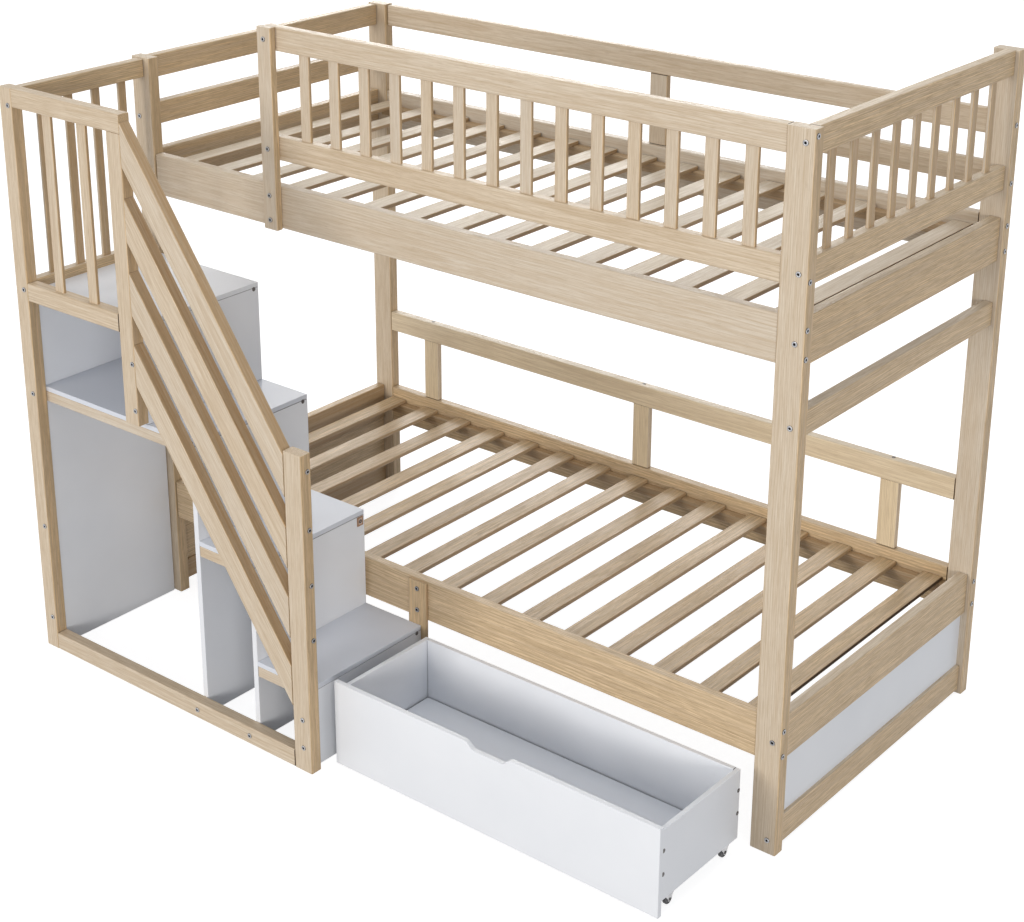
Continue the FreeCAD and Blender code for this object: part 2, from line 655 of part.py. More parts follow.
# ---- bolts: the front guard post and the leg under the middle of the bed ----
guard_post_bolts = (tall_guard_centre, low_guard_centre)
upper_rail_bolts = [end_rail_centres[1] + shift * bolt_spread for shift in (-0.5, 0.5)]
for z in list(guard_post_bolts) + upper_rail_bolts:
    place = (sum(guard_post_x) / 2, guard_post_y[0], z)
    nodes = ["front_guard_post", "front_guard_rails", "upper_side_rail_front"]
    bolt(place, (0, 1, 0), guard_post_thickness + board_grip, nodes)
for shift in (-0.5, 0.5):
    place = (sum(leg_x) / 2, leg_y[0], end_rail_centres[0] + shift * leg_bolt_spread)
    leg_thickness = leg_y[1] - leg_y[0]
    bolt(place, (0, 1, 0), leg_thickness + board_grip, ["centre_leg", "lower_side_rail_front"])

# ---- bolts: the staircase ----
stair_bolt_length = post_depth + bolt_grip
side_bolt_x = sum(side_board_x) / 2 + board_bolt_shift
for z in side_board_bolts + (side_sill[0] + rail_bolt_edge, side_top[0] + rail_bolt_edge):
    nodes = ["stair_outer_post", "stair_side_board", "stair_side_guard_rails"]
    bolt((side_bolt_x, stair_front, z), (0, 1, 0), stair_bolt_length, nodes)
for z in mid_post_bolts:
    place = (mid_post_x[1] - mid_post_bolt_inset, stair_front, z)
    bolt(place, (0, 1, 0), stair_bolt_length, ["stair_mid_post", "stair_risers"])
for z in newel_front_bolts:
    place = (sum(risers[0]) / 2 + board_bolt_shift, stair_front, z)
    bolt(place, (0, 1, 0), stair_bolt_length, ["stair_newel", "stair_risers"])
for z in newel_side_bolts:
    place = (newel_x[1], stair_front + newel_bolt_depth, z)
    bolt(place, (-1, 0, 0), newel_bolt_length, ["stair_newel"])
for riser_x in risers[1:3]:
    place = (sum(riser_x) / 2 + board_bolt_shift, stair_front, base_rail_bolt_z)
    bolt(place, (0, 1, 0), stair_bolt_length, ["stair_base_rail", "stair_risers"])

for point, inward, length, nodes in bolts:
    add("frame_bolts", make_bolt(point, inward, length))
    hole = Part.makeCylinder(bolt_shank_diameter / 2 + bolt_hole_clearance, length, point, inward)
    for node in nodes:
        drill(node, hole)

# ---- dark fittings: cams under the treads, a plate on the second riser, screws down the backrest ----
cam_y = board_y[1] - cam_from_back
for index in (0, 2, 3):
    tread_bottom = tread_tops[index] - tread_thickness
    place = (risers[index][1] + cam_proud, cam_y, tread_bottom - cam_drop)
    cam = cylinder(place, (-1, 0, 0), cam_diameter, cam_depth + cam_proud)
    dowel_place = (sum(risers[index]) / 2, cam_y, tread_bottom - cam_drop)
    cam = cam.fuse(cylinder(dowel_place, (0, 0, 1), dowel_diameter, cam_drop + dowel_grip)).removeSplitter()
    add("dark_fittings", cam)
    for node in ("stair_risers", "stair_tread_1", "stair_tread_3", "stair_platform"):
        drill(node, cam)
plate_z = tread_tops[1] - tread_thickness - cam_drop
plate_x = span(risers[1][1], plate_thickness)
plate_y = about(cam_y, plate_width)
plate = block(plate_x, plate_y, about(plate_z, plate_height))
plate_place = (plate_x[1], cam_y, plate_z)
plate_screw = screw(plate_place, (-1, 0, 0), cam_diameter, cam_proud, plate_thickness + dowel_grip)
add("dark_fittings", plate.cut(plate_screw), plate_screw)
drill("stair_risers", plate_screw)
for centre in backrest_centres:
    place = (centre, back - backrest_screw_inset, backrest_span[1])
    rail_screw = screw(place, (0, 0, -1), cam_diameter, cam_proud, guard_rail_height + screw_grip)
    add("dark_fittings", rail_screw)
    drill("backrest_rail", rail_screw)
    drill("backrest_uprights", rail_screw)

for node, solids in pieces.items():
    Part.makeCompound(solids).exportStep("parts/%s.step" % node)
print(len(pieces), "nodes,", sum(len(solids) for solids in pieces.values()), "solids")
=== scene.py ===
import json
import math
import bpy
import numpy as np
from mathutils import Matrix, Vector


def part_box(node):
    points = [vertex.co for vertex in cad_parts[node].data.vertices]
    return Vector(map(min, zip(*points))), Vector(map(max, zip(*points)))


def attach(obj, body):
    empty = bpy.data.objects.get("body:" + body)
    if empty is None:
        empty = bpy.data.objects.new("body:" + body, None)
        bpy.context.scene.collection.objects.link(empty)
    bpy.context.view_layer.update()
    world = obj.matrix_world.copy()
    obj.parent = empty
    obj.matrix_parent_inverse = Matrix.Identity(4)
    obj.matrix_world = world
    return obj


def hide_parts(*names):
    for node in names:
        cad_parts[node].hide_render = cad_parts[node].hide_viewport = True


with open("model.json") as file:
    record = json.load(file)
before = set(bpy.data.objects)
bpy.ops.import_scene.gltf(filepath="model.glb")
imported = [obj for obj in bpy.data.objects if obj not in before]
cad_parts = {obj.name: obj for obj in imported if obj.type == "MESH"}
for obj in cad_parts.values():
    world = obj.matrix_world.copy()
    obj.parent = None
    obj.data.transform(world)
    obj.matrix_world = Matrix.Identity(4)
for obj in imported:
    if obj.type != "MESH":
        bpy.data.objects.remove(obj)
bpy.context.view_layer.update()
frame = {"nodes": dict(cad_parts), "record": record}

random = np.random.default_rng(41)
print("frame loaded:", len(frame["nodes"]), "nodes")

# what the surfaces share: lengths in metres, shares of a size, and the places to which points are rounded
shaping = {"digits": 6, "sameEnd": 1e-4, "sharpDegrees": 35, "roundShare": 0.45, "crossCore": 0.4,
           "grainShift": (40.0, 0.03, 0.03), "tip": 0.0002}


def cadPoints(node):
    # the corner points of a CAD mesh and, for each of its triangles, the three it joins
    mesh = frame["nodes"][node].data
    points = np.empty(len(mesh.vertices) * 3)
    mesh.vertices.foreach_get("co", points)
    corners = np.empty(len(mesh.loops), dtype=np.int64)
    mesh.loops.foreach_get("vertex_index", corners)
    return points.reshape(-1, 3), corners.reshape(-1, 3)


def solidsOf(node):
    # corner points of each separate solid: a point takes the lowest number among the triangles it is in,
    # again and again, until every solid has one number of its own
    points, triangles = cadPoints(node)
    spots, same = np.unique(np.round(points, shaping["digits"]), axis=0, return_inverse=True)
    triangles = same.ravel()[triangles]
    number = np.arange(len(spots))
    while True:
        lowest = number[triangles].min(axis=1)
        smaller = number.copy()
        np.minimum.at(smaller, triangles.ravel(), np.repeat(lowest, 3))
        smaller = smaller[smaller]
        if (smaller == number).all():
            return [spots[number == value] for value in np.unique(number)]
        number = smaller


def pieceName(node):
    # front_guard_post becomes frontGuardPost
    words = node.split("_")
    return words[0] + "".join(word.capitalize() for word in words[1:])


def makePiece(name, points, faces, normals, extras, material, body, node):
    # a mesh from whole arrays; extras become attributes of the points, and without normals the smooth
    # shading breaks where two faces meet at a sharp angle
    mesh = bpy.data.meshes.new(name)
    mesh.from_pydata(points.tolist(), [], faces)
    for key, values in extras.items():
        kind = "FLOAT_VECTOR" if values.ndim == 2 else "FLOAT"
        layer = mesh.attributes.new(key, kind, "POINT")
        layer.data.foreach_set("vector" if values.ndim == 2 else "value", values.ravel())
    mesh.polygons.foreach_set("use_smooth", np.ones(len(mesh.polygons), dtype=bool))
    if normals is None:
        mesh.set_sharp_from_angle(angle=math.radians(shaping["sharpDegrees"]))
    else:
        mesh.normals_split_custom_set_from_vertices(normals.tolist())
    mesh.materials.append(material)
    piece = bpy.data.objects.new(name, mesh)
    bpy.context.scene.collection.objects.link(piece)
    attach(piece, body)
    if node:
        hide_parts(node)


def gridFaces(rows, columns, start):
    # quads of a grid of rings, closed round each ring, facing away from the path: each joins a point, the
    # next one on its ring, and the same two on the next ring
    row = np.arange(rows - 1)[:, None] * columns
    column = np.arange(columns)[None, :]
    after = (column + 1) % columns
    quads = np.stack([row + column, row + after, row + columns + after, row + columns + column], axis=-1)
    return (quads.reshape(-1, 4) + start).tolist()


def bar(low, high, look, start, slope=0.0):
    # a bar with rounded arrises and eased ends.  Each ring is a rounded rectangle: a corner centre plus
    # (radius - inset) times (cos, sin).  Along the bar the inset is ease times (1 - sin of phi) while the
    # ring stands ease times (1 - cos of phi) in from the end.  With a slope, height falls with x.
    # The tone of a face is the board's own random tone plus painted shade: each axis that its normal leans to
    # adds its share, so the sides and edges are painted darker and warmer as if in shade. Faces along the
    # marked axes are painted dark as the shade in a seam or narrow gap, which draws the joint as a fine line.
    size = high - low
    along = int(np.argmax(size)) if slope == 0.0 else 0
    side, up = (along + 1) % 3, (along + 2) % 3
    half = size / 2
    radius = min(look["round"], shaping["roundShare"] * min(size[side], size[up]))
    ease = min(look["ease"], radius)
    angle = np.concatenate([quarter * math.pi / 2 + np.linspace(0, math.pi / 2, look["steps"] + 1)
                            for quarter in range(4)])
    cornerSide = np.repeat([1, -1, -1, 1], look["steps"] + 1) * (half[side] - radius)
    cornerUp = np.repeat([1, 1, -1, -1], look["steps"] + 1) * (half[up] - radius)
    phi = np.linspace(0, math.pi / 2, look["steps"] + 1)
    inset = np.concatenate([ease * (1 - np.sin(phi)), ease * (1 - np.sin(phi))[::-1]])
    reach = half[along] - look["seam"]
    station = reach - ease * (1 - np.cos(phi))
    station = np.concatenate([-station, station[::-1]])
    lean = np.concatenate([-np.cos(phi), np.cos(phi)[::-1]])
    rows, columns = len(station), len(angle)
    points = np.zeros((rows, columns, 3))
    points[:, :, along] = station[:, None]
    points[:, :, side] = cornerSide + (radius - inset)[:, None] * np.cos(angle)
    points[:, :, up] = cornerUp + (radius - inset)[:, None] * np.sin(angle)
    normals = np.zeros((rows, columns, 3))
    straight = np.sqrt(1 - lean ** 2)[:, None]
    normals[:, :, along] = lean[:, None]
    normals[:, :, side] = straight * np.cos(angle)
    normals[:, :, up] = straight * np.sin(angle)
    points, normals = points.reshape(-1, 3), normals.reshape(-1, 3)
    tilt = math.sqrt(1 + slope ** 2)
    grain = points[:, [along, side, up]] * [tilt, 1.0, 1.0 / tilt]
    grain += random.uniform(look["pith"][0], look["pith"][1]) * np.array([0.0, 1.0, 0.0])
    grain += random.uniform(-1, 1, 3) * shaping["grainShift"]
    # painted shade: each face's axis share darkens and warms the sides and edges, on top of the board's
    # random tone
    toneAndShade = random.uniform(*look["spread"]) + (np.abs(normals) * look["faceTone"]).max(axis=1)
    # painted shade: the faces along the marked axes are darkened as the shade in a seam or gap
    butted = np.array(look.get("butted", np.eye(3)[along] * (look["seam"] > 0)))
    crease = (np.abs(normals) * butted > 0.5 * butted.max()).any(axis=1) * butted.max()
    if look.get("openLow"):  # the end with the lower coordinate is free, and gets no painted shade at its end
        crease[normals[:, along] < -0.5] = 0.0
    if slope:
        points[:, 2] -= slope * points[:, 0]
        normals[:, 0] += slope * normals[:, 2]
        normals /= np.linalg.norm(normals, axis=1)[:, None]
    points += (low + high) / 2
    faces = gridFaces(rows, columns, start)
    faces.append(list(range(start + columns - 1, start - 1, -1)))
    faces.append(list(range(start + (rows - 1) * columns, start + rows * columns)))
    return points, faces, normals, {"grainPlace": grain, "boardTone": toneAndShade, "crease": crease}


def boardPiece(node, material, body, boxes):
    # one bar for each box of (low corner, high corner, look)
    count, bars = 0, []
    for low, high, ownLook in boxes:
        bars.append(bar(low, high, ownLook, count))
        count += len(bars[-1][0])
    joinBars(pieceName(node), bars, material, body, node)


def joinBars(name, bars, material, body, node):
    # bars whose faces are already numbered one after the other, as one piece
    points, faceLists, normals, extras = zip(*bars)
    joined = {key: np.concatenate([extra[key] for extra in extras]) for key in extras[0]}
    makePiece(name, np.concatenate(points), sum(faceLists, []), np.concatenate(normals), joined, material,
              body, node)


def turned(profile, place, direction, steps, start, recess="hexagon"):
    # a turned piece: each row is (radius, height along the direction, share of the recess, painted shade
    # darkness).  The radius of a hexagon at an angle is its flat-to-centre distance over the cosine of the
    # angle from the flat, and that of a cross is its core plus the rest times the fourth power of the cosine
    # of twice the angle.
    rows = np.array(profile)
    angle = np.arange(steps) * 2 * math.pi / steps
    flat = (angle + math.pi / 6) % (math.pi / 3) - math.pi / 6
    core = shaping["crossCore"]
    outline = 1 / np.cos(flat) if recess == "hexagon" else core + (1 - core) * np.cos(2 * angle) ** 4
    reach = rows[:, :1] * (1 + rows[:, 2:3] * (outline[None, :] - 1))
    along = int(np.argmax(np.abs(direction)))
    side, up = (along + 1) % 3, (along + 2) % 3
    sign = direction[along]
    points = np.zeros((len(rows), steps, 3))
    points[:, :, along] = sign * rows[:, 1:2]
    points[:, :, side] = reach * np.cos(angle)
    points[:, :, up] = reach * np.sin(angle) * sign
    points = points.reshape(-1, 3) + place
    faces = gridFaces(len(rows), steps, start)
    faces.append(list(range(start + steps - 1, start - 1, -1)))
    faces.append(list(range(start + (len(rows) - 1) * steps, start + len(rows) * steps)))
    return points, faces, np.repeat(rows[:, 3], steps)


def turnedPiece(name, items, look, material, body, node):
    # turned forms of (profile, place, direction), as one piece
    points, faces, shaded = [], [], []
    count = 0
    for profile, place, direction in items:
        made = turned(profile, place, direction, look["steps"], count, look["recess"])
        count += len(made[0])
        points.append(made[0])
        faces += made[1]
        shaded.append(made[2])
    # painted shade: the dark rows of each profile darken the recess, the rim's foot and the underside
    extras = {"crease": np.concatenate(shaded)}
    makePiece(name, np.concatenate(points), faces, None, extras, material, body, node)


def addNode(tree, kind, **values):
    # a value is an attribute of the node where it has one of that name, and else the socket's own value
    node = tree.nodes.new(kind)
    for key, value in values.items():
        if hasattr(node, key):
            setattr(node, key, value)
        else:
            node.inputs[key.replace("_", " ")].default_value = value
    return node


def shaderGroup(name, inputs, outputs):
    # an empty group with its named sockets, and its two end nodes
    group = bpy.data.node_groups.new(name, "ShaderNodeTree")
    for label, kind, value in inputs:
        socket = group.interface.new_socket(label, in_out="INPUT", socket_type=kind)
        if value is not None:
            socket.default_value = value
    for label, kind in outputs:
        group.interface.new_socket(label, in_out="OUTPUT", socket_type=kind)
    return group, group.nodes.new("NodeGroupInput"), group.nodes.new("NodeGroupOutput")


def stretchedNoise(group, source, stretch, detail, roughness):
    # noise drawn out along the first axis, by a plain product with the stretch
    scaled = addNode(group, "ShaderNodeVectorMath", operation="MULTIPLY")
    scaled.inputs[1].default_value = stretch
    group.links.new(source, scaled.inputs[0])
    noise = addNode(group, "ShaderNodeTexNoise", Scale=1.0, Detail=detail, Roughness=roughness)
    group.links.new(scaled.outputs[0], noise.inputs["Vector"])
    return noise


def remap(tree, source, low, high, toLow=0.0, toHigh=1.0):
    # the range from low to high drawn over that from toLow to toHigh, and held at its ends
    node = addNode(tree, "ShaderNodeMapRange")
    node.inputs["From Min"].default_value = low
    node.inputs["From Max"].default_value = high
    node.inputs["To Min"].default_value = toLow
    node.inputs["To Max"].default_value = toHigh
    tree.links.new(source, node.inputs["Value"])
    return node.outputs["Result"]


# for each noise: its stretch along and across the grain, detail, roughness and the range that is used
grainNoise = {"Drift": ((1.3, 7.0, 7.0), 2.0, 0.5), "ringLevels": ((0.45, 0.25), (0.84, 1.0)),
              "Streaks": ((3.0, 190.0, 190.0), 3.0, 0.6, 0.38, 0.62),
              "Fibres": ((14.0, 430.0, 430.0), 2.0, 0.6, 0.42, 0.62),
              "Flecks": ((38.0, 900.0, 900.0), 1.0, 0.5, 0.6, 0.72)}


def makeWoodFigure(look):
    # growth rings round a pith line beside the board: a ring is the fraction of the distance from that line,
    # which wanders, over the ring width.  Streaks, fibres and flecks are noise drawn out along the grain.
    group, entry, leave = shaderGroup(
        "woodFigure",
        [("Place", "NodeSocketVector", None), ("Ring Width", "NodeSocketFloat", 0.006),
         ("Wander", "NodeSocketFloat", 0.01)],
        [("Rings", "NodeSocketFloat"), ("Streaks", "NodeSocketFloat"), ("Fibres", "NodeSocketFloat"),
         ("Flecks", "NodeSocketFloat")])
    place = entry.outputs["Place"]
    drift = stretchedNoise(group, place, *look["Drift"])
    centred = addNode(group, "ShaderNodeVectorMath", operation="SUBTRACT")
    centred.inputs[1].default_value = (0.5, 0.5, 0.5)
    group.links.new(drift.outputs["Color"], centred.inputs[0])
    wander = addNode(group, "ShaderNodeVectorMath", operation="SCALE")
    group.links.new(centred.outputs[0], wander.inputs[0])
    group.links.new(entry.outputs["Wander"], wander.inputs["Scale"])
    moved = addNode(group, "ShaderNodeVectorMath", operation="ADD")
    group.links.new(place, moved.inputs[0])
    group.links.new(wander.outputs[0], moved.inputs[1])
    across = addNode(group, "ShaderNodeVectorMath", operation="MULTIPLY")
    across.inputs[1].default_value = (0.0, 1.0, 1.0)
    group.links.new(moved.outputs[0], across.inputs[0])
    distance = addNode(group, "ShaderNodeVectorMath", operation="LENGTH")
    group.links.new(across.outputs[0], distance.inputs[0])
    turns = addNode(group, "ShaderNodeMath", operation="DIVIDE")
    group.links.new(distance.outputs["Value"], turns.inputs[0])
    group.links.new(entry.outputs["Ring Width"], turns.inputs[1])
    saw = addNode(group, "ShaderNodeMath", operation="FRACT")
    group.links.new(turns.outputs[0], saw.inputs[0])
    ramp = addNode(group, "ShaderNodeValToRGB")
    ramp.color_ramp.elements[0].position = 0.0
    ramp.color_ramp.elements[0].color = (0, 0, 0, 1)
    ramp.color_ramp.elements[1].position = 1.0
    ramp.color_ramp.elements[1].color = (0, 0, 0, 1)
    for position, level in look["ringLevels"]:
        ramp.color_ramp.elements.new(position).color = (level, level, level, 1)
    group.links.new(saw.outputs[0], ramp.inputs["Fac"])
    group.links.new(ramp.outputs["Color"], leave.inputs["Rings"])
    for label, source in (("Streaks", moved.outputs[0]), ("Fibres", moved.outputs[0]), ("Flecks", place)):
        stretch, detail, roughness, low, high = look[label]
        noise = stretchedNoise(group, source, stretch, detail, roughness)
        group.links.new(remap(group, noise.outputs["Fac"], low, high), leave.inputs[label])
    return group


uneven = {"range": (0.32, 0.68), "detail": {"Cloud": 3.0, "Grain": 2.0}}


def makeUnevenness(look):
    # slow clouds and a fine grain, both as masks from 0 to 1
    group, entry, leave = shaderGroup(
        "unevenness", [("Place", "NodeSocketVector", None), ("Cloud Scale", "NodeSocketFloat", 5.0),
                       ("Grain Scale", "NodeSocketFloat", 600.0)],
        [("Cloud", "NodeSocketFloat"), ("Grain", "NodeSocketFloat")])
    for label, detail in look["detail"].items():
        noise = addNode(group, "ShaderNodeTexNoise", Detail=detail)
        group.links.new(entry.outputs["Place"], noise.inputs["Vector"])
        group.links.new(entry.outputs[label + " Scale"], noise.inputs["Scale"])
        group.links.new(remap(group, noise.outputs["Fac"], *look["range"]), leave.inputs[label])
    return group


def newMaterial(name):
    # one Principled shader on the surface
    material = bpy.data.materials.new(name)
    material.use_nodes = True
    tree = material.node_tree
    tree.nodes.clear()
    output = addNode(tree, "ShaderNodeOutputMaterial")
    shader = addNode(tree, "ShaderNodeBsdfPrincipled")
    tree.links.new(shader.outputs[0], output.inputs["Surface"])
    return material, tree, shader


def mixColour(tree, factor, first, second):
    # first times (1 - factor) plus second times factor, each a socket or a plain value
    node = addNode(tree, "ShaderNodeMix", data_type="RGBA")
    for value, socket in ((factor, node.inputs[0]), (first, node.inputs[6]), (second, node.inputs[7])):
        if hasattr(value, "is_linked"):
            tree.links.new(value, socket)
        else:
            socket.default_value = value
    return node.outputs[2]


def product(tree, source, value):
    # a socket times a plain value
    node = addNode(tree, "ShaderNodeMath", operation="MULTIPLY")
    tree.links.new(source, node.inputs[0])
    node.inputs[1].default_value = value
    return node.outputs[0]


def woodMaterial(name, look, figure):
    # the board's tone picks a colour between light (-1), pale (0), warm (1) and honey (2), and the figure
    # lies over it, stronger on the warmer tones. A board's random tone stays near pale; the painted shade of
    # faces and pieces moves it towards warm and honey, and the painted light of a piece towards light.
    material, tree, shader = newMaterial(name)
    place = addNode(tree, "ShaderNodeAttribute", attribute_name="grainPlace")
    toneAndShade = addNode(tree, "ShaderNodeAttribute", attribute_name="boardTone")
    wood = addNode(tree, "ShaderNodeGroup")
    wood.node_tree = figure
    wood.inputs["Ring Width"].default_value = look["ringWidth"]
    wood.inputs["Wander"].default_value = look["wander"]
    tree.links.new(place.outputs["Vector"], wood.inputs["Place"])
    colour = mixColour(tree, remap(tree, toneAndShade.outputs["Fac"], -1.0, 0.0), look["light"], look["pale"])
    colour = mixColour(tree, remap(tree, toneAndShade.outputs["Fac"], 0.0, 1.0), colour, look["warm"])
    colour = mixColour(tree, remap(tree, toneAndShade.outputs["Fac"], 1.0, 2.0), colour, look["honey"])
    strength = remap(tree, toneAndShade.outputs["Fac"], 0.0, 1.0, look["figure"][0], look["figure"][1])
    for figureName, amount, shade in look["layers"]:
        share = addNode(tree, "ShaderNodeMath", operation="MULTIPLY", use_clamp=True)
        tree.links.new(product(tree, wood.outputs[figureName], amount), share.inputs[0])
        tree.links.new(strength, share.inputs[1])
        colour = mixColour(tree, share.outputs[0], colour, shade)
    # painted shade: seams, gaps and recesses are darkened to the joint shade colour
    depth = addNode(tree, "ShaderNodeAttribute", attribute_name="crease")
    colour = mixColour(tree, depth.outputs["Fac"], colour, look["joint"])
    tree.links.new(colour, shader.inputs["Base Color"])
    rough = remap(tree, wood.outputs["Fibres"], 0.0, 1.0, look["rough"][0], look["rough"][1])
    tree.links.new(rough, shader.inputs["Roughness"])
    bump = addNode(tree, "ShaderNodeBump", Strength=look["bump"], Distance=look["bumpDepth"])
    tree.links.new(wood.outputs["Fibres"], bump.inputs["Height"])
    tree.links.new(bump.outputs[0], shader.inputs["Normal"])
    return material


wood = {
    # warm and honey are reached only through painted shade, light only through painted light; the joint
    # colour is painted shade in seams and gaps
    "light": (0.800, 0.665, 0.460, 1), "pale": (0.635, 0.570, 0.482, 1), "warm": (0.780, 0.575, 0.335, 1),
    "honey": (0.370, 0.212, 0.090, 1), "joint": (0.050, 0.030, 0.018, 1), "figure": (0.60, 1.40),
    "layers": (("Streaks", 0.55, (0.530, 0.405, 0.275, 1)), ("Rings", 0.42, (0.400, 0.275, 0.145, 1)),
               ("Fibres", 0.50, (0.410, 0.295, 0.170, 1)), ("Flecks", 0.34, (0.240, 0.150, 0.075, 1))),
    "ringWidth": 0.0048, "wander": 0.018, "rough": (0.42, 0.55), "bump": 0.3, "bumpDepth": 0.0006,
}
pine = woodMaterial("pine", wood, makeWoodFigure(grainNoise))

unevenness = makeUnevenness(uneven)
plainFinishes = {
    "whiteFoil": {"metallic": 0.0, "colour": (0.785, 0.805, 0.845, 1), "worn": (0.752, 0.774, 0.818, 1),
                  "rough": (0.34, 0.46), "cloud": 5.0, "grain": 620.0, "bump": 0.06},
    # painted shade: a darker copy of the white foil for the treads, whose tops lie in the bed's shade
    "treadFoil": {"metallic": 0.0, "colour": (0.660, 0.692, 0.762, 1), "worn": (0.630, 0.662, 0.732, 1),
                  "rough": (0.34, 0.46), "cloud": 5.0, "grain": 620.0, "bump": 0.06},
    "boltSteel": {"metallic": 1.0, "colour": (0.47, 0.47, 0.48, 1), "worn": (0.34, 0.34, 0.35, 1),
                  "rough": (0.26, 0.40), "cloud": 90.0, "grain": 900.0, "bump": 0.10},
    "sheetSteel": {"metallic": 1.0, "colour": (0.60, 0.60, 0.61, 1), "worn": (0.45, 0.45, 0.46, 1),
                   "rough": (0.28, 0.42), "cloud": 60.0, "grain": 500.0, "bump": 0.10},
    "darkFitting": {"metallic": 0.0, "colour": (0.060, 0.052, 0.052, 1), "worn": (0.11, 0.095, 0.09, 1),
                    "rough": (0.30, 0.50), "cloud": 120.0, "grain": 700.0, "bump": 0.10},
    "wheelPlastic": {"metallic": 0.0, "colour": (0.045, 0.045, 0.050, 1), "worn": (0.09, 0.09, 0.095, 1),
                     "rough": (0.35, 0.50), "cloud": 90.0, "grain": 800.0, "bump": 0.10},
    "rawBoard": {"metallic": 0.0, "colour": (0.420, 0.262, 0.165, 1), "worn": (0.300, 0.175, 0.105, 1),
                 "rough": (0.70, 0.90), "cloud": 350.0, "grain": 1400.0, "bump": 0.40},
    "paleBoard": {"metallic": 0.0, "colour": (0.620, 0.500, 0.430, 1), "worn": (0.500, 0.380, 0.310, 1),
                  "rough": (0.70, 0.90), "cloud": 350.0, "grain": 1400.0, "bump": 0.40},
}
paintedShadeColour = (0.012, 0.012, 0.014, 1)  # painted shade: the dark of a screw's recess and rim and of the seams and gaps where boards meet
plainBumpDepth = 0.0003


def plainMaterial(name, look):
    # the colour shifts to the worn one by slow clouds, and a fine grain gives the roughness and the bump
    material, tree, shader = newMaterial(name)
    shader.inputs["Metallic"].default_value = look["metallic"]
    coordinates = addNode(tree, "ShaderNodeTexCoord")
    marks = addNode(tree, "ShaderNodeGroup")
    marks.node_tree = unevenness
    marks.inputs["Cloud Scale"].default_value = look["cloud"]
    marks.inputs["Grain Scale"].default_value = look["grain"]
    tree.links.new(coordinates.outputs["Object"], marks.inputs["Place"])
    colour = mixColour(tree, marks.outputs["Cloud"], look["colour"], look["worn"])
    # painted shade: seams, gaps and recesses are darkened towards the painted shade colour
    depth = addNode(tree, "ShaderNodeAttribute", attribute_name="crease")
    tree.links.new(mixColour(tree, depth.outputs["Fac"], colour, paintedShadeColour), shader.inputs["Base Color"])
    rough = remap(tree, marks.outputs["Grain"], 0.0, 1.0, look["rough"][0], look["rough"][1])
    tree.links.new(rough, shader.inputs["Roughness"])
    bump = addNode(tree, "ShaderNodeBump", Strength=look["bump"], Distance=plainBumpDepth)
    tree.links.new(marks.outputs["Grain"], bump.inputs["Height"])
    tree.links.new(bump.outputs[0], shader.inputs["Normal"])
    return material


finishes = {name: plainMaterial(name, look) for name, look in plainFinishes.items()}
print("materials made")

# a rail stops a hair short of the post, and its butted ends are painted dark as the shade in that seam: that
# is what fitted adds to timber
# painted shade: the face tones darken and warm the faces along x most, and tops and fronts a little, as the
# shade on them
timber = {"round": 0.0032, "ease": 0.0014, "steps": 3, "seam": 0.0, "pith": (0.05, 0.12),
          "faceTone": (1.25, 0.15, 0.30), "spread": (-0.15, 0.15)}
fitted = dict(timber, seam=0.0009, faceTone=(0.95, 0.15, 0.30))
thin = dict(fitted, round=0.0022, faceTone=(1.7, 0.15, 0.30))
# how much warmer and darker a node's wood is painted than the rest, on the scale of the tones: painted shade
# for the pieces that lie in shade, and below zero painted light for the backrest and the upper slats
paintedLightAndShade = {"backrest_rail": -1.1, "backrest_uprights": -1.1, "lower_side_rail_back": 0.7, "lower_slats": 0.9,
          "lower_end_rail_left": 1.05, "lower_side_rail_front": 0.55, "centre_leg": 0.9,
          "left_base_rail": 0.9, "left_guard_rails": 0.2, "upper_end_rail_left": 0.4, "slat_cleats": 1.7,
          "upper_slats": -0.6}
slatSideShade = 1.0  # how much darker and warmer the sides of the slats are painted, as shade
freeEnded = ("post_front_right", "post_back_right", "post_front_left", "post_back_left", "front_guard_post",
             "stair_outer_post", "stair_mid_post", "stair_newel", "centre_leg", "stair_top_rail")
slender = ("lower_slats", "upper_slats", "front_guard_balusters", "right_guard_balusters",
           "stair_front_balusters", "stair_side_balusters", "back_guard_uprights", "backrest_uprights")
slotOf = {row["node"]: row["material_slot"] for row in frame["record"]["subparts"]}
bodyOf = {node: body for body, nodes in frame["record"]["behaviour"]["bodies"].items() for node in nodes}
for node, slotName in slotOf.items():
    if slotName == "pine" and node != "stair_diagonals":
        look = timber if node in freeEnded else thin if node in slender else fitted
        extra = paintedLightAndShade.get(node, 0.0)
        # painted shade: the sides of the slats get more of it than other pieces
        sideShade = look["faceTone"][0] + (slatSideShade if node in ("lower_slats", "upper_slats") else 0.0)
        look = dict(look, spread=(look["spread"][0] + extra, look["spread"][1] + extra),
                    openLow=(node == "front_guard_rails"),
                    faceTone=(sideShade,) + look["faceTone"][1:])
        boxes = [(solid.min(axis=0), solid.max(axis=0), look) for solid in solidsOf(node)]
        if node in ("lower_slats", "upper_slats"):
            # painted shade: the last slat stands close to the end rail, and its edge in that narrow gap is
            # painted black as the shade there
            boxes.sort(key=lambda box: box[1][0])
            boxes[-1] = boxes[-1][:2] + (dict(look, butted=(0.9, 0.0, 0.0)),)
        boardPiece(node, pine, bodyOf[node], boxes)
print("wooden members made")


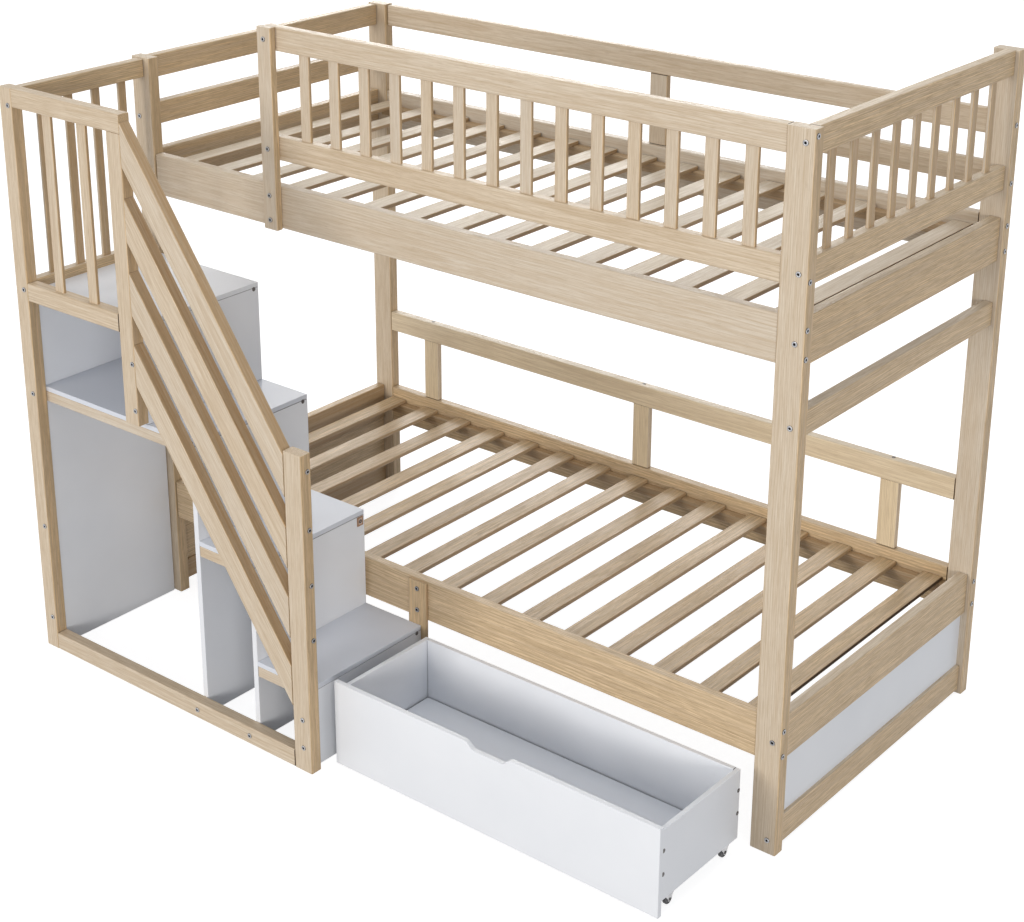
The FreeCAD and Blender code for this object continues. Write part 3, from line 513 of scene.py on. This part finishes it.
def makeDiagonals(node, look):
    # a sloping bar for each board: its upright height is that of its left end, and it falls from there
    # by the drop of its upper edge over its length
    bars, count = [], 0
    for solid in solidsOf(node):
        low, high = solid.min(axis=0), solid.max(axis=0)
        atLeft = solid[solid[:, 0] < low[0] + shaping["sameEnd"]][:, 2]
        atRight = solid[solid[:, 0] > high[0] - shaping["sameEnd"]][:, 2]
        slope = (atLeft.max() - atRight.max()) / (high[0] - low[0])
        tall = atLeft.max() - atLeft.min()
        middle = (atLeft.max() + atRight.min()) / 2
        low[2], high[2] = middle - tall / 2, middle + tall / 2
        bars.append(bar(low, high, look, count, slope))
        count += len(bars[-1][0])
    joinBars(pieceName(node), bars, pine, "frame", node)


# painted shade: the diagonals' sides and depth faces are painted honey as the shade on them
diagonal = dict(fitted, seam=0.0003, butted=(0.4, 0.0, 0.0), faceTone=(1.9, 0.15, 1.9))
makeDiagonals("stair_diagonals", diagonal)

board = {"round": 0.0009, "ease": 0.0008, "steps": 2, "seam": 0.0006, "pith": (0.0, 0.0),
         "faceTone": (0.0, 0.0, 0.0), "spread": (0.0, 0.0), "butted": (0.0, 0.0, 0.0)}
# painted shade: the marked axes give the seam faces of the risers and the drawer back their painted shade
riserBoard = dict(board, gap=0.0004, butted=(0.0, 0.0, 0.6))
drawerBack = dict(board, seam=0.0009, butted=(1.0, 0.0, 0.0))
drawerBase = dict(board, groove=0.0078, step=0.0035, butted=(1.0, 1.0, 0.0), film=0.0003)
boardLooks = {"stair_risers": riserBoard, "drawer_back": drawerBack}
for node, slotName in slotOf.items():
    if slotName == "white_board" and node not in ("drawer_front", "drawer_base"):
        look = boardLooks.get(node, board)
        gap = np.array([0.0, 0.0, look.get("gap", 0.0)])
        boxes = [(solid.min(axis=0) + gap, solid.max(axis=0) - gap, look) for solid in solidsOf(node)]
        # painted shade: the treads get the darker copy of the white foil
        foil = finishes["treadFoil" if node.startswith("stair_tread") else "whiteFoil"]
        boardPiece(node, foil, bodyOf[node], boxes)


def makeDrawerBase(node, look):
    # the lower layer runs into the grooves of the sides, the upper stops short of them, and between the two
    # lies a thin layer painted dark all round as shade, which shows round the upper one as a line; the upper
    # one's edges are painted dark too, as the shade in that gap
    low, high = [np.array(corner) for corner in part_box(node)]
    split = high[2] - look["step"]
    under = split - look["film"]
    inset = np.array([look["groove"], look["groove"], 0.0])
    white = dict(look, butted=(0.0, 0.0, 0.0))
    # painted shade: a dark sheet where the gap is in shade
    shaded = dict(look, butted=(1.0, 1.0, 1.0))
    layers = [(low, np.array([high[0], high[1], under]), white),
              (np.array([low[0], low[1], under]), np.array([high[0], high[1], split]), shaded),
              (np.array([low[0], low[1], split]) + inset, high - inset, look)]
    boardPiece(node, finishes["whiteFoil"], "drawer", layers)


makeDrawerBase("drawer_base", drawerBase)

drawerFront = {"scoopWidth": 0.150, "scoopFlat": 0.074, "scoopDepth": 0.018, "ease": 0.0012, "steps": 4,
               "arcSteps": 8}


def makeDrawerFront(node, look):
    # the outline runs round the panel, with the scoop's two S curves, each two arcs of radius
    # (depth squared over 4 plus bend squared) over depth.  Rings of it, drawn in at both faces, make
    # the edge.
    low, high = [np.array(corner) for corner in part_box(node)]
    centre = (low[0] + high[0]) / 2
    depth = look["scoopDepth"]
    bend = (look["scoopWidth"] - look["scoopFlat"]) / 4
    radius = (depth ** 2 / 4 + bend ** 2) / depth
    sweep = math.asin(bend / radius)
    turn = np.linspace(0, sweep, look["arcSteps"] + 1)
    lowerX = look["scoopFlat"] / 2 + radius * np.sin(turn)
    lowerZ = -depth + radius * (1 - np.cos(turn))
    upperX = look["scoopWidth"] / 2 - radius * np.sin(sweep - turn)
    upperZ = -radius * (1 - np.cos(sweep - turn))
    halfX = np.concatenate([lowerX, upperX[1:]])
    halfZ = np.concatenate([lowerZ, upperZ[1:]]) + high[2]
    scoopX = np.concatenate([centre + halfX[::-1], centre - halfX])
    scoopZ = np.concatenate([halfZ[::-1], halfZ])
    outlineX = np.concatenate([[low[0], high[0], high[0]], scoopX, [low[0]]])
    outlineZ = np.concatenate([[low[2], low[2], high[2]], scoopZ, [high[2]]])
    outline = np.stack([outlineX, outlineZ], axis=1)
    edge = np.roll(outline, -1, axis=0) - outline
    edge /= np.linalg.norm(edge, axis=1)[:, None]
    before = np.roll(edge, 1, axis=0)
    outward = np.stack([edge[:, 1] + before[:, 1], -edge[:, 0] - before[:, 0]], axis=1)
    outward /= (1 + (edge * before).sum(axis=1))[:, None]
    phi = np.linspace(0, math.pi / 2, look["steps"] + 1)
    inset = look["ease"] * (1 - np.sin(phi))
    depthIn = look["ease"] * (1 - np.cos(phi))
    inset = np.concatenate([inset, inset[::-1]])
    station = np.concatenate([low[1] + depthIn, (high[1] - depthIn)[::-1]])
    ring = outline[None, :, :] - outward[None, :, :] * inset[:, None, None]
    rows, columns = ring.shape[:2]
    acrossPanel = np.broadcast_to(station[:, None], (rows, columns))
    points = np.stack([ring[:, :, 0], acrossPanel, ring[:, :, 1]], axis=-1)
    faces = gridFaces(rows, columns, 0)
    faces.append(list(range(columns - 1, -1, -1)))
    faces.append(list(range((rows - 1) * columns, rows * columns)))
    faces = [face[::-1] for face in faces]
    makePiece(pieceName(node), points.reshape(-1, 3), faces, None, {}, finishes["whiteFoil"], "drawer", node)


makeDrawerFront("drawer_front", drawerFront)
print("boards made")

boltHead = {"height": 0.002, "rim": 0.0007, "mouth": 0.003, "floor": 0.0014, "steps": 24,
            "recess": "hexagon"}
fitting = {"height": 0.0011, "rim": 0.0005, "mouth": 0.0034, "floor": 0.0005, "steps": 32, "recess": "cross",
           "dowel": 0.002, "longScrew": 0.05, "plateSide": 0.015}
headForm = {
    "hair": 0.0001, "mouthShare": 0.66,
    # rims in from the side, rims down, painted shade darkness of the rim ring
    "rim": ((0.0, 1.2, 0.8), (0.4, 0.5, 0.3), (1.0, 0.12, 0.0), (2.0, 0.0, 0.0)),
    # share of the mouth's radius, depth, share of the recess, painted shade darkness
    "mouth": ((1.2, 0.0, 0, 0), (1.02, 0.0001, 1, 0), (1.0, 0.0002, 1, 1)),
    "floorShare": 0.94, "sameEnd": 1e-5, "wider": 1.1, "nearAxis": 0.0012, "offAxis": 0.001,
}


def headProfile(look, radius, shank, farRadius, length):
    # from the far end of the shank up to the head, over its rounded rim, and down into the recess; the head's
    # underside, the foot of its rim and the recess are painted dark as shade
    height, rim, floor = look["height"], look["rim"], look["floor"]
    tip, hair = shaping["tip"], headForm["hair"]
    mouth = min(look["mouth"], headForm["mouthShare"] * radius)
    rows = [(tip, -length, 0, 0), (farRadius, -length, 0, 0), (farRadius, -length + height, 0, 0),
            (shank, -length + height + hair, 0, 0), (shank, -height - hair, 0, 1), (radius, -height, 0, 1)]
    rows += [(radius - rim * inwards, -rim * down, 0, shaded) for inwards, down, shaded in headForm["rim"]]
    rows += [(mouth * share, -depth, recess, shaded) for share, depth, recess, shaded in headForm["mouth"]]
    return rows + [(mouth * headForm["floorShare"], -floor, 1, 1), (tip, -floor - tip, 1, 1)]


def endDisc(solid, along, place):
    # the round end of a solid: the middle of its box, and the reach of its farthest point
    end = solid[np.abs(solid[:, along] - place) < headForm["sameEnd"]]
    centre = (end.min(axis=0) + end.max(axis=0)) / 2
    return centre, np.linalg.norm(end - centre, axis=1).max()


def fastenerItems(node, look, along, outwards):
    # each fastener is turned about its own axis, with its head at the wider end.  Where both ends are as
    # wide, the head is at the end that outwards names.  What lies off the axis is a dowel across it.
    items = []
    for solid in solidsOf(node):
        low, high = solid.min(axis=0), solid.max(axis=0)
        size = high - low
        if min(size[1], size[2]) > look.get("plateSide", 1.0):  # the plate round a screw is made apart
            solid = solid[np.abs(solid - (low + high) / 2)[:, 1:].max(axis=1) < look["plateSide"] / 2]
        axis = int(np.argmax(size)) if along is None or size.max() > look["longScrew"] else along
        ends = [endDisc(solid, axis, low[axis]), endDisc(solid, axis, high[axis])]
        radii = np.array([ends[0][1], ends[1][1]])
        narrow = headForm["wider"] * radii[::-1]
        sign = -1 if radii[0] > narrow[0] else 1 if radii[1] > narrow[1] else outwards(low, high)
        head = max(sign, 0)
        centre, radius = ends[head]
        away = np.linalg.norm(np.delete(solid - centre, axis, axis=1), axis=1)
        direction = np.zeros(3)
        direction[axis] = sign
        shank = away[away > headForm["nearAxis"]].min() if along is not None else radii[1 - head]
        farRadius = min(radii[1 - head], radius)
        items.append((headProfile(look, radius, shank, farRadius, size[axis]), centre, direction))
        beyond = radius + headForm["offAxis"]
        for across in {1, 2} - {axis} if away.max() > beyond else ():
            reach = solid[np.argmax(away)][across] - centre[across]
            if abs(reach) > beyond:
                middle = centre - direction * size[axis] / 2
                turn = np.zeros(3)
                turn[across] = math.copysign(1.0, reach)
                tip, rod = shaping["tip"], look["dowel"]
                dowel = [(tip, 0, 0, 0), (rod, 0, 0, 0), (rod, abs(reach), 0, 0), (tip, abs(reach), 0, 0)]
                items.append((dowel, middle, turn))
    return items


drawerMiddle = np.mean([corner[0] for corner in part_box("drawer_front")])
turnedPiece("frameBolts", fastenerItems("frame_bolts", boltHead, None, None), boltHead, finishes["boltSteel"],
            "frame", "frame_bolts")
drawerItems = fastenerItems("drawer_fasteners", fitting, 0,
                            lambda low, high: 1 if low[0] > drawerMiddle else -1)
turnedPiece("drawerFasteners", drawerItems, fitting, finishes["darkFitting"], "drawer", "drawer_fasteners")
fittingItems = fastenerItems("dark_fittings", fitting, 0, lambda low, high: 1)
turnedPiece("darkFittings", fittingItems, fitting, finishes["darkFitting"], "frame", "dark_fittings")

bracketMesh = frame["nodes"]["castor_brackets"].data
bracketMesh.materials.clear()
bracketMesh.materials.append(finishes["sheetSteel"])

stepPlate = {"round": 0.0006, "ease": 0.0004, "steps": 2, "seam": 0.0, "pith": (0.0, 0.0), "inlay": 0.004,
             "behind": 0.0006, "thick": 0.0025, "raised": 0.00005, "faceTone": (0.0, 0.0, 0.0),
             "spread": (0.0, 0.0)}


def makeStepPlate(look):
    # the small raw panel behind the screw of the second riser, with a pale square let into it
    plate = max(solidsOf("dark_fittings"), key=lambda solid: np.ptp(solid[:, 1]))
    low, high = plate.min(axis=0), plate.max(axis=0)
    high[0] -= look["behind"]
    low[0] = high[0] - look["thick"]
    joinBars("stepPlate", [bar(low, high, look, 0)], finishes["rawBoard"], "frame", None)
    inset = np.array([0.0, look["inlay"], look["inlay"]])
    raised = np.array([look["raised"], 0.0, 0.0])
    inlay = bar(low + inset + raised, high - inset + raised, look, 0)
    joinBars("stepPlateInlay", [inlay], finishes["paleBoard"], "frame", None)


makeStepPlate(stepPlate)

castorWheel = {"round": 0.0022, "hub": 0.0055, "recess": 0.0105, "depth": 0.001, "bore": 0.00255,
               "lip": 0.0003, "arcPoints": 5, "steps": 48}


def makeWheel(node, look):
    # a closed profile turned about the axle: bore, hub, sunk disc and flat, then a quarter circle of the
    # bead's radius to the tread, and the same again mirrored
    low, high = [np.array(corner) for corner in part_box(node)]
    centre = (low + high) / 2
    radius = (high - low)[2] / 2
    half = (high - low)[0] / 2
    bead, lip = look["round"], look["lip"]
    turn = np.linspace(0, math.pi / 2, look["arcPoints"])
    sunk = half - look["depth"]
    side = [(look["bore"], half - lip), (look["hub"], half - lip), (look["hub"] + lip, sunk),
            (look["recess"], sunk), (look["recess"] + lip, half)]
    shoulder = [(radius - bead + bead * math.sin(t), half - bead + bead * math.cos(t)) for t in turn]
    right = side + shoulder
    profile = [(r, -h, 0, 0) for r, h in right] + [(r, h, 0, 0) for r, h in right[::-1]]
    profile.append(profile[0])
    points, faces, _ = turned(profile, centre, np.array([1.0, 0.0, 0.0]), look["steps"], 0)
    faces = faces[:-2]  # no end caps: the last ring is welded to the first
    rows = len(profile)
    last = (rows - 1) * look["steps"]
    faces = [[index - last if index >= last else index for index in face] for face in faces]
    makePiece(pieceName(node), points[:last], faces, None, {}, finishes["wheelPlastic"], node, node)


for node, slotName in slotOf.items():
    if slotName == "castor_wheel":
        makeWheel(node, castorWheel)
print("fittings made")

# the floor's own light is added only where it is seen, so that it looks white and lights nothing
stage = {"size": 60.0, "colour": (0.36, 0.36, 0.37, 1), "rough": 0.9, "gloss": 0.1, "lift": 0.86,
         "drop": 0.0005}


def makeFloor(look):
    # one square just under the bed's feet, matt, plus its own light
    mesh = bpy.data.meshes.new("floor")
    reach = look["size"] / 2
    corners = [(-reach, -reach, -look["drop"]), (reach, -reach, -look["drop"]),
               (reach, reach, -look["drop"]), (-reach, reach, -look["drop"])]
    mesh.from_pydata(corners, [], [(0, 1, 2, 3)])
    material, tree, shader = newMaterial("floorPaint")
    output = tree.nodes["Material Output"]
    shader.inputs["Base Color"].default_value = look["colour"]
    shader.inputs["Roughness"].default_value = look["rough"]
    shader.inputs["Specular IOR Level"].default_value = look["gloss"]
    glow = addNode(tree, "ShaderNodeEmission")
    path = addNode(tree, "ShaderNodeLightPath")
    tree.links.new(product(tree, seenDirectly(tree, path), look["lift"]), glow.inputs["Strength"])
    both = addNode(tree, "ShaderNodeAddShader")
    tree.links.new(shader.outputs[0], both.inputs[0])
    tree.links.new(glow.outputs[0], both.inputs[1])
    tree.links.new(both.outputs[0], output.inputs["Surface"])
    mesh.materials.append(material)
    floor = bpy.data.objects.new("floor", mesh)
    bpy.context.scene.collection.objects.link(floor)


def seenDirectly(tree, path):
    # 1 for rays from the camera, and for those that a mirror or glass sends on
    first = addNode(tree, "ShaderNodeMath", operation="MAXIMUM")
    tree.links.new(path.outputs["Is Camera Ray"], first.inputs[0])
    tree.links.new(path.outputs["Is Glossy Ray"], first.inputs[1])
    second = addNode(tree, "ShaderNodeMath", operation="MAXIMUM")
    tree.links.new(first.outputs[0], second.inputs[0])
    tree.links.new(path.outputs["Is Transmission Ray"], second.inputs[1])
    return second.outputs[0]


makeFloor(stage)

studio = {
    "ambient": (0.945, 0.97, 1.0, 1), "ambientStrength": 0.54,
    "lamps": {  # place, width, height, watts and colour
        "key": ((-3.0, -13.8, 4.2), 5.0, 5.0, 860.0, (1.0, 0.965, 0.91)),
        "fill": ((10.1, -9.5, 2.0), 6.0, 2.4, 600.0, (1.0, 0.965, 0.92)),
        "top": ((0.3, 0.2, 8.8), 4.0, 4.0, 140.0, (0.97, 0.985, 1.0)),
        "back": ((-7.5, 9.5, 4.2), 5.0, 4.0, 420.0, (1.0, 0.985, 0.96)),
    },
    "aim": (0.0, 0.0, 0.8),
}


def makeStudio(look):
    # a world that is plain white to the camera and soft to the bed, and lamps that face the aim
    world = bpy.data.worlds.new("studio")
    bpy.context.scene.world = world
    world.use_nodes = True
    tree = world.node_tree
    tree.nodes.clear()
    output = addNode(tree, "ShaderNodeOutputWorld")
    soft = addNode(tree, "ShaderNodeBackground", Color=look["ambient"], Strength=look["ambientStrength"])
    white = addNode(tree, "ShaderNodeBackground", Color=(1, 1, 1, 1), Strength=1.0)
    path = addNode(tree, "ShaderNodeLightPath")
    mix = addNode(tree, "ShaderNodeMixShader")
    tree.links.new(seenDirectly(tree, path), mix.inputs[0])
    tree.links.new(soft.outputs[0], mix.inputs[1])
    tree.links.new(white.outputs[0], mix.inputs[2])
    tree.links.new(mix.outputs[0], output.inputs["Surface"])
    aim = np.array(look["aim"])
    for name, (place, wide, tall, watts, colour) in look["lamps"].items():
        data = bpy.data.lights.new(name, "AREA")
        data.shape = "RECTANGLE"
        data.size, data.size_y = wide, tall
        data.energy = watts
        data.color = colour
        light = bpy.data.objects.new(name, data)
        bpy.context.scene.collection.objects.link(light)
        light.matrix_world = lookFrom(np.array(place), aim)


def lookFrom(place, aim):
    # local -Z points at the aim and local X stays level
    back = (place - aim) / np.linalg.norm(place - aim)
    right = np.cross((0.0, 0.0, 1.0), back)
    right /= np.linalg.norm(right)
    up = np.cross(back, right)
    matrix = np.eye(4)
    matrix[:3, 0], matrix[:3, 1], matrix[:3, 2], matrix[:3, 3] = right, up, back, place
    return Matrix(matrix.tolist())


makeStudio(studio)

view = {"place": (3.03468, -3.69286, 2.79559), "azimuth": 39.37543, "elevation": 20.37153,
        "lens": 69.67481, "sensor": 36.0, "shiftX": 0.01383, "shiftY": -0.14, "farthest": 200.0}


def makeCamera(look):
    # it looks along (-sin, cos) of the azimuth over the floor, tipped down by the elevation
    data = bpy.data.cameras.new("camera")
    data.lens = look["lens"]
    data.sensor_width = look["sensor"]
    data.shift_x = look["shiftX"]
    data.shift_y = look["shiftY"]
    data.clip_end = look["farthest"]
    camera = bpy.data.objects.new("camera", data)
    bpy.context.scene.collection.objects.link(camera)
    azimuth, elevation = math.radians(look["azimuth"]), math.radians(look["elevation"])
    forward = np.array([-math.sin(azimuth) * math.cos(elevation), math.cos(azimuth) * math.cos(elevation),
                        -math.sin(elevation)])
    place = np.array(look["place"])
    camera.matrix_world = lookFrom(place, place + forward)
    bpy.context.scene.camera = camera


makeCamera(view)
bpy.context.scene.view_settings.view_transform = "Standard"
print("stage made")
